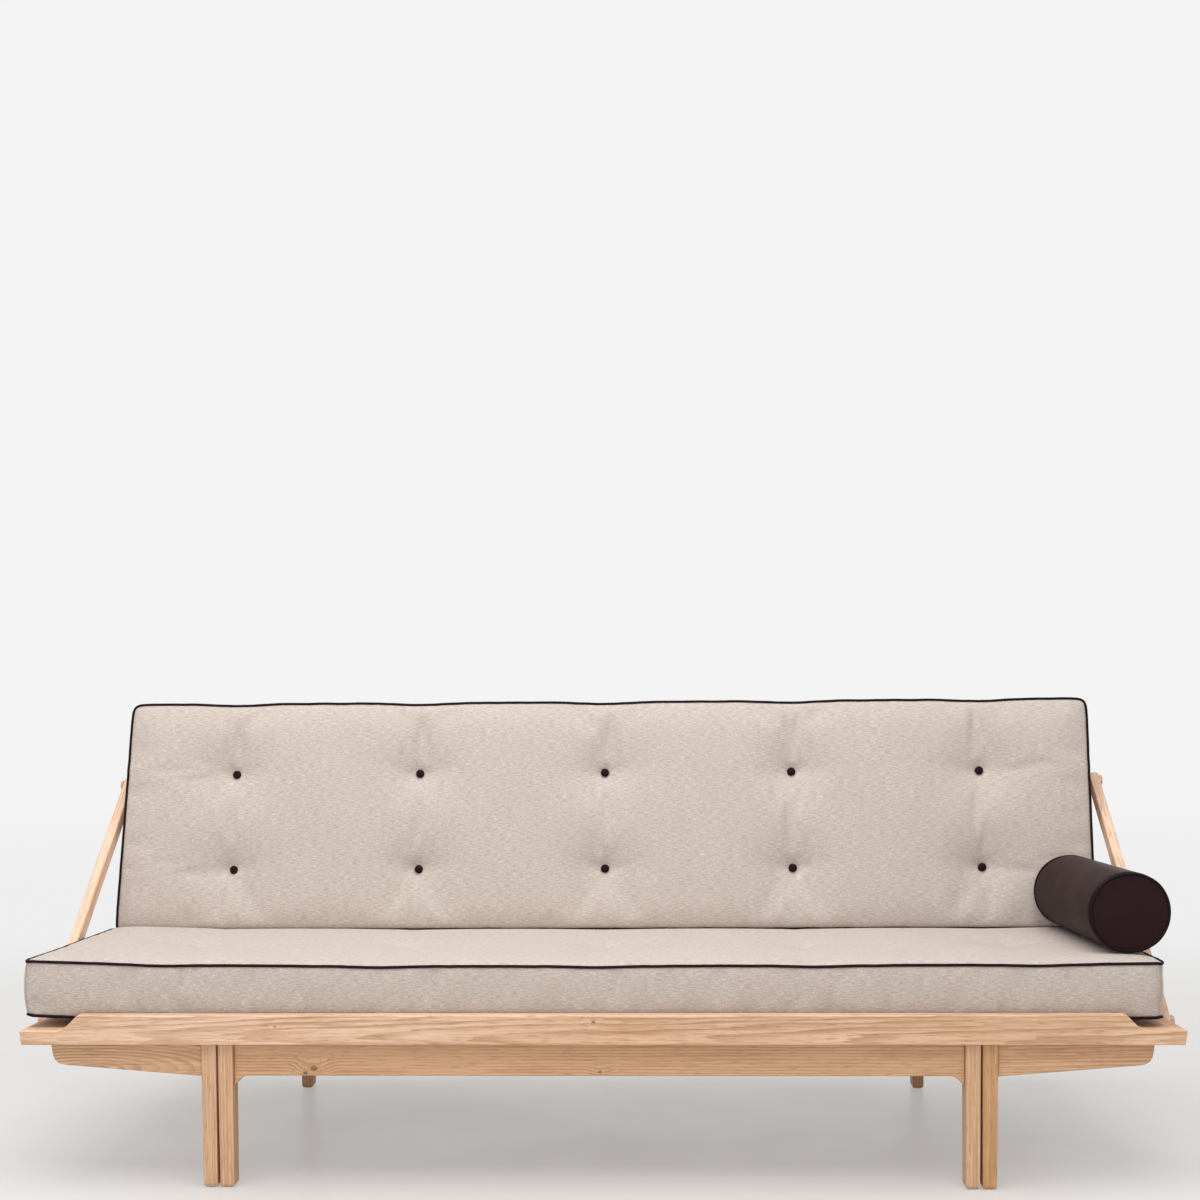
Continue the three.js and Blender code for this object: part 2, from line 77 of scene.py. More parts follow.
MATTRESS_TUFT_ROWS = (-0.130, 0.150)
ARM_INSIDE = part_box("arm_left")[1].x
ARM_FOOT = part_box("base_pivot_left")

# Grid steps of the covers before they are subdivided.
MATTRESS_STEP = 0.0135
CUSHION_STEP, CUSHION_FINE_STEP, CUSHION_FINE_REACH = 0.0145, 0.0055, 0.030
DEPTH_STEP = 0.0125
BOLSTER_STEP = 0.0072

# How the covers are stuffed and sewn.
STUFFING_PRESSURE = 4.0
HELD_ROUND_BUTTON = 0.0095
CUSHION_TUFT_REACH = 0.029
CUSHION_CROWN_REACH = 0.045
FOOT_TUCK_REACH = 0.010
PIPING_STANDS_OUT = 0.7
BOLSTER_DOME = 0.002
BOLSTER_END = 0.004
BOLSTER_GROOVE = 0.0012

# Lamps: place, aim and size.
KEY_LIGHT = (-0.25, -1.1, 3.2), (0.0, 0.0, 0.3), (3.6, 2.6)
FILL_LIGHT = (-0.9, -4.2, 1.3), (0.0, 0.0, 0.25), (3.6, 1.8)
FLOOR_REACH = 60.0


# ---------------------------------------------------------------- node helpers

def node(tree, kind, inputs=None, **settings):
    """A node with its settings made and its inputs linked or filled."""
    made = tree.nodes.new(kind)
    for name, value in settings.items():
        setattr(made, name, value)
    for key, value in (inputs or {}).items():
        if isinstance(value, bpy.types.NodeSocket):
            tree.links.new(value, made.inputs[key])
        else:
            made.inputs[key].default_value = value
    return made


def sums(tree, operation, a, b=0.0, clamp=False):
    """One step of arithmetic on two values."""
    inputs = {0: a, 1: b}
    return node(tree, "ShaderNodeMath", inputs, operation=operation, use_clamp=clamp).outputs[0]


def blended(tree, factor, a, b, how="MIX"):
    """Colour a turning into colour b."""
    made = node(tree, "ShaderNodeMix", {0: factor, 6: a, 7: b}, data_type="RGBA", blend_type=how)
    return made.outputs[2]


def spread(tree, value, low, high, to_low=0.0, to_high=1.0):
    """A value's low to high range moved to another range, with soft ends."""
    inputs = {"Value": value, "From Min": low, "From Max": high,
              "To Min": to_low, "To Max": to_high}
    return node(tree, "ShaderNodeMapRange", inputs, interpolation_type="SMOOTHSTEP").outputs[0]


def mapped(tree, vector, scale=(1, 1, 1), turn=(0, 0, 0), shift=(0, 0, 0)):
    """Coordinates scaled, turned and shifted."""
    inputs = {"Vector": vector, "Scale": scale, "Rotation": turn, "Location": shift}
    return node(tree, "ShaderNodeMapping", inputs).outputs[0]


def cloudy(tree, vector, scale, detail=2.0, roughness=0.5):
    """Soft noise from 0 to 1."""
    inputs = {"Vector": vector, "Scale": scale, "Detail": detail, "Roughness": roughness}
    return node(tree, "ShaderNodeTexNoise", inputs).outputs["Fac"]


def colour4(colour):
    return (*colour, 1.0)


def new_material(name):
    """A material with an empty tree, its Principled shader and where it reads its place."""
    material = bpy.data.materials.new(name)
    material.use_nodes = True
    tree = material.node_tree
    tree.nodes.clear()
    shader = node(tree, "ShaderNodeBsdfPrincipled")
    output = node(tree, "ShaderNodeOutputMaterial")
    tree.links.new(shader.outputs[0], output.inputs["Surface"])
    place = node(tree, "ShaderNodeTexCoord")
    return material, tree, shader, place


def finish_shader(tree, shader, colour, roughness, height, strength, depth):
    """Links colour, roughness and bump to the shader."""
    bump = node(tree, "ShaderNodeBump",
                {"Strength": strength, "Distance": depth, "Height": height})
    tree.links.new(colour, shader.inputs["Base Color"])
    tree.links.new(roughness, shader.inputs["Roughness"])
    tree.links.new(bump.outputs[0], shader.inputs["Normal"])


# ------------------------------------------------------------------- materials

ALONG_BED = (0.0, 0.0, 0.0)


def along_side(angle):
    """The turn for grain that runs in the bed's side view, at an angle above level."""
    return (-angle, 0.0, -math.pi / 2)


def oak(name, turn, heart, wood, golden=0.0, bend=8.0, grain=0.66, tilt=0.0, knots=()):
    """Soaped oak: growth rings round the tree's heart, long fibres, open pores, rare knots."""
    material, tree, shader, place = new_material(name)
    here = place.outputs["Object"]
    shift = -(Euler(turn).to_matrix() @ Vector(heart))
    board = mapped(tree, here, turn=turn, shift=shift)
    spots = []
    for (x, y, z), radius in knots:
        reach = node(tree, "ShaderNodeVectorMath",
                     {0: mapped(tree, here, scale=(0.7, 1, 1)), 1: (x * 0.7, y, z)},
                     operation="DISTANCE").outputs["Value"]
        spots.append(spread(tree, reach, radius * 0.5, radius, 1.0, 0.0))
        bulge = spread(tree, reach, 0.0, radius * 6, radius * 2.2, 0.0)
        aside = node(tree, "ShaderNodeCombineXYZ", {"Y": bulge, "Z": bulge})
        board = node(tree, "ShaderNodeVectorMath", {0: board, 1: aside.outputs[0]},
                     operation="ADD").outputs[0]
    tilted = mapped(tree, board, turn=(0, 0, tilt))
    growth = mapped(tree, tilted, scale=(wood.grain_squeeze, 1, 1))
    rings = node(tree, "ShaderNodeTexWave",
                 {"Vector": growth, "Scale": 0.314 / wood.ring_spacing, "Distortion": bend,
                  "Detail": 3.0, "Detail Scale": 0.45, "Detail Roughness": 0.6},
                 wave_type="RINGS", rings_direction="X", wave_profile="SAW").outputs["Fac"]
    late_wood = spread(tree, rings, 0.30, 1.0)
    patchy = cloudy(tree, mapped(tree, board, scale=(0.10, 1, 1)), 30.0, 3.0)
    late_wood = sums(tree, "MULTIPLY", late_wood, spread(tree, patchy, 0.30, 0.65, 0.30, 1.0))
    streak = cloudy(tree, mapped(tree, board, scale=(0.035, 1, 1)), 210.0, 3.0, 0.65)
    fibre = cloudy(tree, mapped(tree, board, scale=(0.02, 1, 1)), 640.0, 2.0, 0.6)
    pores = cloudy(tree, mapped(tree, board, scale=(0.05, 1, 1), shift=(3.1, 1.7, 0.4)),
                   620.0, 1.0)
    pore = spread(tree, pores, 0.57, 0.68)
    broad = cloudy(tree, mapped(tree, board, scale=(0.35, 1, 1)), 6.0, 2.0)

    ground = [a + (b - a) * golden for a, b in zip(wood.pale, wood.golden)]
    patch = [c + (b - a) * min(golden, 0) for a, b, c in zip(wood.pale, wood.golden, wood.warm)]
    tone = blended(tree, spread(tree, broad, 0.30, 0.70), colour4(ground), colour4(patch))
    tone = blended(tree, sums(tree, "MULTIPLY", late_wood, grain), tone, colour4(wood.ring))
    tone = blended(tree, spread(tree, streak, 0.42, 0.66, 0.0, 0.38), tone,
                   colour4(wood.ring))
    tone = blended(tree, spread(tree, fibre, 0.40, 0.70, 0.0, 0.30), tone,
                   colour4(wood.ring))
    tone = blended(tree, sums(tree, "MULTIPLY", pore, 0.42), tone, colour4(wood.pore))
    for spot in spots:
        tone = blended(tree, sums(tree, "MULTIPLY", spot, 0.70), tone, colour4(wood.knot))

    roughness = spread(tree, streak, 0.25, 0.75, 0.46, 0.62)
    height = sums(tree, "SUBTRACT", sums(tree, "MULTIPLY", fibre, 0.5),
                  sums(tree, "ADD", pore, sums(tree, "MULTIPLY", late_wood, 0.3)))
    finish_shader(tree, shader, tone, roughness, height, 0.35, 0.00025)
    shader.inputs["Specular IOR Level"].default_value = 0.30
    return material


def linen(name, cloth):
    """Plain-woven melange linen: slubby warp and weft in two shades, on the cloth's own map."""
    material, tree, shader, place = new_material(name)
    cut = place.outputs["UV"]
    across = node(tree, "ShaderNodeSeparateXYZ", {0: cut})
    turns = math.pi / cloth.thread
    warp = sums(tree, "SINE", sums(tree, "MULTIPLY", across.outputs["X"], turns))
    weft = sums(tree, "SINE", sums(tree, "MULTIPLY", across.outputs["Y"], turns))
    over = sums(tree, "GREATER_THAN", sums(tree, "MULTIPLY", warp, weft), 0.0)
    under = sums(tree, "SUBTRACT", 1.0, over)
    ridge = sums(tree, "ADD",
                 sums(tree, "MULTIPLY", over, sums(tree, "ABSOLUTE", warp)),
                 sums(tree, "MULTIPLY", under, sums(tree, "ABSOLUTE", weft)))

    warp_slub = cloudy(tree, mapped(tree, cut, scale=(1, 0.22, 1)), 800.0, 2.0, 0.6)
    weft_slub = cloudy(tree, mapped(tree, cut, scale=(0.08, 1, 1), shift=(2.3, 5.1, 0)),
                       900.0, 2.0, 0.6)
    slub = sums(tree, "ADD", sums(tree, "MULTIPLY", warp_slub, 0.30),
                sums(tree, "MULTIPLY", weft_slub, 0.70))
    fleck = cloudy(tree, mapped(tree, cut, scale=(0.3, 1, 1)), 700.0, 2.0, 0.7)
    mottle = cloudy(tree, cut, 9.0, 2.0)
    crossing = node(tree, "ShaderNodeVectorMath",
                    {0: cut, 1: (cloth.thread * 2, cloth.thread, cloth.thread)},
                    operation="SNAP").outputs[0]
    yarn = node(tree, "ShaderNodeTexWhiteNoise", {"Vector": crossing}).outputs["Value"]

    shade = spread(tree, slub, 0.36, 0.62)
    tone = blended(tree, shade, colour4(cloth.dark_yarn), colour4(cloth.light_yarn))
    tone = blended(tree, spread(tree, fleck, 0.55, 0.72, 0.0, 0.40), tone,
                   colour4(cloth.fleck))
    tone = blended(tree, spread(tree, mottle, 0.35, 0.65, 0.0, 0.10), tone,
                   colour4(cloth.dark_yarn))
    tone = blended(tree, sums(tree, "MULTIPLY", yarn, 0.42), tone, colour4(cloth.dark_yarn))
    # Painted shade: the low gaps between threads are darkened towards the fleck colour.
    painted_gap_shade = spread(tree, ridge, 0.0, 0.45, 0.22, 0.0)
    tone = blended(tree, painted_gap_shade, tone, colour4(cloth.fleck))

    height = sums(tree, "ADD", ridge, sums(tree, "MULTIPLY", slub, 1.6))
    roughness = spread(tree, slub, 0.3, 0.7, 0.96, 0.84)
    finish_shader(tree, shader, tone, roughness, height, 0.55, 0.00035)
    shader.inputs["Specular IOR Level"].default_value = 0.12
    shader.inputs["Sheen Weight"].default_value = 0.06
    shader.inputs["Sheen Roughness"].default_value = 0.55
    return material


def leather(name, hide, grain=1.0, tint=1.0):
    """Dyed leather: fine pebbled grain, faint creases and a low, uneven gloss."""
    material, tree, shader, place = new_material(name)
    skin = place.outputs["Object"]
    deep, worn = ([share * tint for share in tone] for tone in (hide.deep, hide.worn))
    cells = node(tree, "ShaderNodeTexVoronoi",
                 {"Vector": skin, "Scale": grain / hide.pebble, "Randomness": 0.9},
                 feature="DISTANCE_TO_EDGE").outputs["Distance"]
    pebble = spread(tree, cells, 0.0, 0.28)
    crease = spread(tree, cloudy(tree, skin, 70.0, 4.0, 0.6), 0.42, 0.60)
    broad = cloudy(tree, skin, 9.0, 3.0)
    tone = blended(tree, spread(tree, broad, 0.35, 0.65), colour4(deep), colour4(worn))
    tone = blended(tree, sums(tree, "SUBTRACT", 1.0, pebble, clamp=True), tone,
                   colour4(deep))
    height = sums(tree, "ADD", pebble, sums(tree, "MULTIPLY", crease, 0.6))
    roughness = spread(tree, sums(tree, "ADD", broad, sums(tree, "MULTIPLY", pebble, 0.3)),
                       0.4, 1.0, 0.47, 0.35)
    finish_shader(tree, shader, tone, roughness, height, 0.30, 0.00022)
    shader.inputs["Specular IOR Level"].default_value = 0.07
    return material


def dress(node_name, material):
    """Gives a CAD node's object its material, in every slot."""
    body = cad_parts[node_name]
    for slot in body.material_slots:
        slot.material = material
    if not body.material_slots:
        body.data.materials.append(material)


# ---------------------------------------------------------------- mesh helpers

def lines(low, high, step, finer=(), near=0.0, fine_step=0.0):
    """Grid lines from low to high, closer together near the places in finer."""
    places = [low]
    while places[-1] < high - 1e-9:
        here = places[-1]
        close = any(abs(here - place) < near for place in finer)
        places.append(here + (fine_step if close else step))
    over = np.array(places)
    return low + (over - low) * (high - low) / (over[-1] - low)


class Pad:
    """A closed box of quads with a grid on each side, kept as numbers until it is made."""

    SIDES = ("low", "high", "front", "back", "left", "right")

    def __init__(self, xs, ys, zs):
        counts = (len(xs) - 1, len(ys) - 1, len(zs) - 1)
        self.index = {}
        grid = []

        def corner(i, j, k):
            if (i, j, k) not in self.index:
                self.index[i, j, k] = len(grid)
                grid.append((xs[i], ys[j], zs[k]))
            return self.index[i, j, k]

        self.faces, self.face_sides = [], []

        def side(name, u_count, v_count, place):
            for u in range(u_count):
                for v in range(v_count):
                    quad = [place(u, v), place(u + 1, v), place(u + 1, v + 1), place(u, v + 1)]
                    self.faces.append([corner(*p) for p in quad])
                    self.face_sides.append(self.SIDES.index(name))

        nx, ny, nz = counts
        side("high", nx, ny, lambda u, v: (u, v, nz))
        side("low", ny, nx, lambda u, v: (v, u, 0))
        side("front", nx, nz, lambda u, v: (u, 0, v))
        side("back", nz, nx, lambda u, v: (v, ny, u))
        side("left", nz, ny, lambda u, v: (0, v, u))
        side("right", ny, nz, lambda u, v: (nx, u, v))
        self.flat = np.array(grid)
        self.points = self.flat.copy()
        self.around = (
            [(i, 0) for i in range(nx)] + [(nx, j) for j in range(ny)]
            + [(i, ny) for i in range(nx, 0, -1)] + [(0, j) for j in range(ny, 0, -1)]
        )
        self.levels = nz
        self.low_seam, self.high_seam = self.ring(0), self.ring(-1)
        self.corners = [
            [self.index[i, j, k] for k in range(nz + 1)] for i in (0, nx) for j in (0, ny)
        ]
        keys = np.array(list(self.index))
        self.on_high = keys[:, 2] == nz
        self.on_low = keys[:, 2] == 0
        self.on_seam = np.zeros(len(grid), bool)
        self.on_seam[self.low_seam + self.high_seam] = True

    def ring(self, level):
        """The points round the sides at one level, counted from either end."""
        k = level % (self.levels + 1)
        return [self.index[i, j, k] for i, j in self.around]

    def round_corners(self, radius, only_high_y=False):
        """Rounds the corners seen from above. A quad grid stays a quad grid."""
        x, y = self.flat[:, 0], self.flat[:, 1]
        middle = (self.flat.min(0) + self.flat.max(0)) / 2
        half = (self.flat.max(0) - self.flat.min(0)) / 2
        dx = (np.abs(x - middle[0]) - (half[0] - radius)) / radius
        dy = (np.abs(y - middle[1]) - (half[1] - radius)) / radius
        inside = (dx > 0) & (dy > 0)
        if only_high_y:
            inside &= y > middle[1]
        round_x = dx * np.sqrt(np.clip(1 - dy * dy / 2, 0, 1))
        round_y = dy * np.sqrt(np.clip(1 - dx * dx / 2, 0, 1))
        side_x, side_y = np.sign(x - middle[0]), np.sign(y - middle[1])
        self.points[inside, 0] = (middle[0] + side_x * (half[0] - radius + round_x * radius))[inside]
        self.points[inside, 1] = (middle[1] + side_y * (half[1] - radius + round_y * radius))[inside]

    def edge_distance(self):
        """How far each point is from the pad's outline, seen from above."""
        low, high = self.flat.min(0), self.flat.max(0)
        x, y = self.flat[:, 0], self.flat[:, 1]
        return np.minimum.reduce([x - low[0], high[0] - x, y - low[1], high[1] - y])

    def make(self, name, material):
        """The mesh object, with a cloth map in metres cut as the sides are."""
        mesh = bpy.data.meshes.new(name)
        mesh.from_pydata(self.points.tolist(), [], self.faces)
        cut = mesh.uv_layers.new(name="cloth")
        axes = {"low": (0, 1), "high": (0, 1), "front": (0, 2), "back": (0, 2),
                "left": (1, 2), "right": (1, 2)}
        sheet = np.zeros((len(mesh.loops), 2))
        for face, polygon in enumerate(mesh.polygons):
            a, b = axes[self.SIDES[self.face_sides[face]]]
            for loop in polygon.loop_indices:
                place = self.flat[mesh.loops[loop].vertex_index]
                sheet[loop] = place[a] + 0.31 * self.face_sides[face], place[b]
        cut.data.foreach_set("uv", sheet.ravel())
        mesh.materials.append(material)
        body = bpy.data.objects.new(name, mesh)
        bpy.context.scene.collection.objects.link(body)
        return body


def points_of(body):
    flat = np.empty(len(body.data.vertices) * 3)
    body.data.vertices.foreach_get("co", flat)
    return flat.reshape(-1, 3)


def move_points(body, points):
    body.data.vertices.foreach_set("co", np.asarray(points, float).ravel())
    body.data.update()


def normals_of(body):
    flat = np.empty(len(body.data.vertices) * 3)
    body.data.vertex_normals.foreach_get("vector", flat)
    return flat.reshape(-1, 3)


def capped(moves, most):
    """Moves whose length levels off at most."""
    length = np.linalg.norm(moves, axis=1)
    share = np.where(length > 1e-9, most * np.tanh(length / most) / np.maximum(length, 1e-9), 1)
    return moves * share[:, None]


def swell(body, sewn, most, looseness=0.0, frames=20):
    """Stuffs a cover: cloth under pressure, held at its sewn points, for a few frames."""
    scene = bpy.context.scene
    before = points_of(body)
    group = body.vertex_groups.new(name="sewn")
    group.add([int(i) for i in sewn], 1.0, "REPLACE")
    cloth = body.modifiers.new("Stuffing", "CLOTH")
    cover = cloth.settings
    cover.quality = 6
    cover.mass = 0.3
    cover.tension_stiffness = cover.compression_stiffness = 22
    cover.shear_stiffness = 10
    cover.bending_stiffness = 5.0
    cover.use_pressure = True
    cover.uniform_pressure_force = STUFFING_PRESSURE
    cover.shrink_min = -looseness
    cover.vertex_group_mass = "sewn"
    cover.effector_weights.gravity = 0
    cloth.collision_settings.use_collision = False
    cloth.point_cache.frame_start, cloth.point_cache.frame_end = 1, frames
    for step in range(1, frames + 1):
        scene.frame_set(step)
    stuffed = body.evaluated_get(bpy.context.evaluated_depsgraph_get())
    after = np.array([v.co for v in stuffed.data.vertices])
    body.modifiers.remove(cloth)
    body.vertex_groups.clear()
    scene.frame_set(1)
    move_points(body, before + capped(after - before, most))


def subdivide(body):
    """One level of subdivision, applied, with smooth shading."""
    smooth = body.modifiers.new("Smooth", "SUBSURF")
    smooth.levels = smooth.render_levels = 1
    plain = bpy.data.meshes.new_from_object(
        body.evaluated_get(bpy.context.evaluated_depsgraph_get()))
    body.modifiers.remove(smooth)
    old, body.data = body.data, plain
    plain.name = body.name
    bpy.data.meshes.remove(old)
    plain.shade_smooth()


def piping_tree():
    """Geometry nodes for a round cord that follows each line of a mesh."""
    tree = bpy.data.node_groups.new("Piping", "GeometryNodeTree")
    sockets = tree.interface
    sockets.new_socket("Geometry", in_out="OUTPUT", socket_type="NodeSocketGeometry")
    sockets.new_socket("Geometry", in_out="INPUT", socket_type="NodeSocketGeometry")
    for name, kind, value in (("Radius", "NodeSocketFloat", 0.0025), ("Sides", "NodeSocketInt", 10),
                              ("Smoothness", "NodeSocketInt", 3)):
        sockets.new_socket(name, in_out="INPUT", socket_type=kind).default_value = value
    sockets.new_socket("Material", in_out="INPUT", socket_type="NodeSocketMaterial")
    given = node(tree, "NodeGroupInput")
    line = node(tree, "GeometryNodeMeshToCurve", {"Mesh": given.outputs["Geometry"]})
    bent = node(tree, "GeometryNodeCurveSplineType", {"Curve": line.outputs[0]},
                spline_type="CATMULL_ROM")
    fine = node(tree, "GeometryNodeSetSplineResolution",
                {"Geometry": bent.outputs[0], "Resolution": given.outputs["Smoothness"]})
    ring = node(tree, "GeometryNodeCurvePrimitiveCircle",
                {"Resolution": given.outputs["Sides"], "Radius": given.outputs["Radius"]})
    tube = node(tree, "GeometryNodeCurveToMesh",
                {"Curve": fine.outputs[0], "Profile Curve": ring.outputs[0], "Fill Caps": True})
    soft = node(tree, "GeometryNodeSetShadeSmooth", {"Geometry": tube.outputs[0]})
    real = node(tree, "GeometryNodeRealizeInstances", {"Geometry": soft.outputs[0]})
    covered = node(tree, "GeometryNodeSetMaterial",
                   {"Geometry": real.outputs[0], "Material": given.outputs["Material"]})
    node(tree, "NodeGroupOutput", {0: covered.outputs[0]})
    return tree


def corded(name, paths, radius, material, sides=10):
    """Round cords along paths: each path is its points and whether it closes on itself."""
    points, edges = [], []
    for path, closed in paths:
        first = len(points)
        points += [tuple(p) for p in path]
        count = len(path)
        edges += [(first + i, first + (i + 1) % count) for i in range(count if closed else count - 1)]
    mesh = bpy.data.meshes.new(name)
    mesh.from_pydata(points, edges, [])
    body = bpy.data.objects.new(name, mesh)
    bpy.context.scene.collection.objects.link(body)
    tree = bpy.data.node_groups.get("Piping") or piping_tree()
    cord = body.modifiers.new("Piping", "NODES")
    cord.node_group = tree
    values = {"Radius": radius, "Sides": sides, "Material": material}
    for item in tree.interface.items_tree:
        if item.in_out == "INPUT" and item.name in values:
            cord[item.identifier] = values[item.name]
    plain = bpy.data.meshes.new_from_object(
        body.evaluated_get(bpy.context.evaluated_depsgraph_get()))
    body.modifiers.remove(cord)
    body.data = plain
    plain.name = name
    bpy.data.meshes.remove(mesh)
    if not len(plain.polygons):
        raise RuntimeError(f"{name}: the cord came out empty")
    return body


def beside(loop, centre, out):
    """Seam points moved outwards in plan and along an axis, so that a cord stands on the seam."""
    loop = np.asarray(loop)
    ahead = np.roll(loop, -1, 0) - np.roll(loop, 1, 0)
    axis = np.asarray(centre, float)
    aside = np.cross(ahead, axis)
    aside /= np.linalg.norm(aside, axis=1)[:, None]
    return loop + aside * out


def piped(name, points, seams, axis, radius):
    """Leather piping round each seam, standing a little out of it."""
    paths = [(beside(points[seam], axis, radius * PIPING_STANDS_OUT), True) for seam in seams]
    return corded(name, paths, radius, bpy.data.materials["piping_leather"])


def settle(body, cad_body):
    """What every finished piece needs: the body it rides on."""
    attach(body, cad_body)


# ---------------------------------------------------------------------- pieces

SOFT_NODES = ("mattress", "back_cushion", "bolster")
TIMBERS = {
    "arm": "arm",
    "back_stile": "lean", "back_slat": "lean",
    # Painted shade: the right outer leg gets a darker, more golden copy of the upright oak.
    "outer_leg_right": "shaded",
    "outer_leg": "upright", "inner_leg": "upright", "rear_leg": "upright",
    "runner": "side", "end_plank": "side", "fixed_slat": "side", "sliding_slat": "side",
    "centre_apron": "apron", "rear_apron": "apron",
    "front_bracket_left": "figured", "front_bracket": "bracket", "rear_bracket": "bracket",
}


def timber_of(name):
    """Which oak a node is cut from, by the start of its name."""
    for start, timber in TIMBERS.items():
        if name.startswith(start):
            return timber
    return "rail"


def arm_angle():
    """An arm's slope above level, from its two pins."""
    low = sum(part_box("base_pivot_left"), Vector()) / 2
    high = sum(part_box("back_pivot_left"), Vector()) / 2
    return math.atan2(high.z - low.z, high.y - low.y)


def lay_mattress(covers):
    """Shapes, stuffs and tufts the mattress. Returns its object, seams and corners."""
    low, high = MATTRESS_LOW, MATTRESS_HIGH
    seam_low, seam_high = low.z + covers.piping_rise, high.z - covers.mattress_crown
    pad = Pad(lines(low.x, high.x - covers.swell_room, MATTRESS_STEP),
              lines(low.y + covers.swell_room, high.y - covers.swell_room, MATTRESS_STEP),
              lines(seam_low, seam_high, DEPTH_STEP))
    pad.round_corners(covers.mattress_corner)
    x, y = pad.flat[:, 0], pad.flat[:, 1]
    edge = pad.edge_distance()
    rise = (high.z - seam_high) * (1 - np.exp(-edge / 0.040))
    fall = (seam_low - low.z) * (1 - np.exp(-(edge / 0.035) ** 1.5))
    pad.points[pad.on_high, 2] += (rise * 0.30)[pad.on_high]
    pad.points[pad.on_low, 2] -= fall[pad.on_low]

    up = (pad.flat[:, 2] - seam_low) / (seam_high - seam_low)
    left, right = x - low.x, high.x - x
    pad.points[:, 2] += up * (covers.left_lift * np.exp(-left / 0.26)
                              + covers.right_lift * np.exp(-right / 0.20))
    reach = covers.corner_reach * np.exp(-(y - low.y) / 0.035)
    pad.points[:, 0] -= reach * np.exp(-left / 0.10)
    bulge = np.sin(np.pi * np.clip(up, 0, 1))
    pad.points[:, 0] -= 0.5 * reach * bulge * np.exp(-left / 0.05)
    pad.points[:, 2] += (1 - up) * 0.5 * covers.left_lift * np.exp(-left / 0.10)
    sewn = pad.on_seam | pad.on_low
    dips = np.zeros(len(x))
    for column in COLUMN_PLACES:
        for row in MATTRESS_TUFT_ROWS:
            away = np.hypot(x - column, y - row)
            dips += np.exp(-(away / 0.045))
            sewn = sewn | (pad.on_high & (away < 0.010))
    pad.points[pad.on_high, 2] -= (dips * covers.mattress_tuft)[pad.on_high]

    body = pad.make("mattress_cover", bpy.data.materials["woven_linen"])
    swell(body, np.flatnonzero(sewn), covers.mattress_give, 0.02)
    points = points_of(body)
    wave = edge_wave(points[:, 0], 3)
    near_top = np.clip((points[:, 2] - seam_low) / (seam_high - seam_low), 0, 1)
    points[:, 2] -= wave * 0.6 * covers.edge_wave * near_top * np.exp(-edge / 0.12)
    points[:, 2] = np.where(pad.on_low, np.maximum(points[:, 2], low.z), points[:, 2])
    points = pressed(points, covers.foot_drop)
    move_points(body, points)
    subdivide(body)
    move_points(body, pressed(points_of(body), covers.foot_drop))
    return body, (pad.high_seam, pad.low_seam), pad.corners


def pressed(points, foot_drop):
    """The mattress kept under the bolster and the cushion's foot, and inside the arms."""
    x, y, z = points.T
    middle = (BOLSTER_LOW + BOLSTER_HIGH) / 2
    radius = (BOLSTER_HIGH.x - BOLSTER_LOW.x) / 2
    aside = np.clip(np.abs(x - middle.x) / radius, 0, 1)
    ceiling = middle.z - radius * np.sqrt(1 - aside ** 2)
    under_bolster = (aside < 1) & (y > BOLSTER_LOW.y) & (y < BOLSTER_HIGH.y)
    z = np.where(under_bolster, np.minimum(z, ceiling), z)
    under_foot = y > CUSHION_LOW.y - 0.004
    z = np.where(under_foot, np.minimum(z, CUSHION_LOW.z - foot_drop), z)
    beside_arm = y > ARM_FOOT[0].y - 0.012
    x = np.where(beside_arm, np.maximum(x, ARM_INSIDE + 0.0052), x)
    return np.column_stack((x, y, z))


def edge_wave(x, phase):
    """A slow wave along a sewn edge, 1 where the tufts pull it and 0 between them."""
    pull = sum(np.exp(-((x - column) / 0.060) ** 2) for column in COLUMN_PLACES)
    slow = 0.5 + 0.5 * np.sin(2.3 * x + 0.9 * phase)
    return pull * 0.75 + slow * 0.35


def face_frame():
    """The matrix that puts cushion measures (along, up its face, out of it) in the frame."""
    button = BUTTONS[0]
    on_face = button + BACK_OUT * BUTTON_SINK
    climb = (on_face.z - CUSHION_LOW.z) / BACK_UP.z
    foot = on_face - BACK_UP * climb
    along = Vector((1, 0, 0))
    turn = Matrix((along, BACK_UP, BACK_OUT)).transposed()
    return Matrix.Translation((0, foot.y, foot.z)) @ turn.to_4x4(), climb


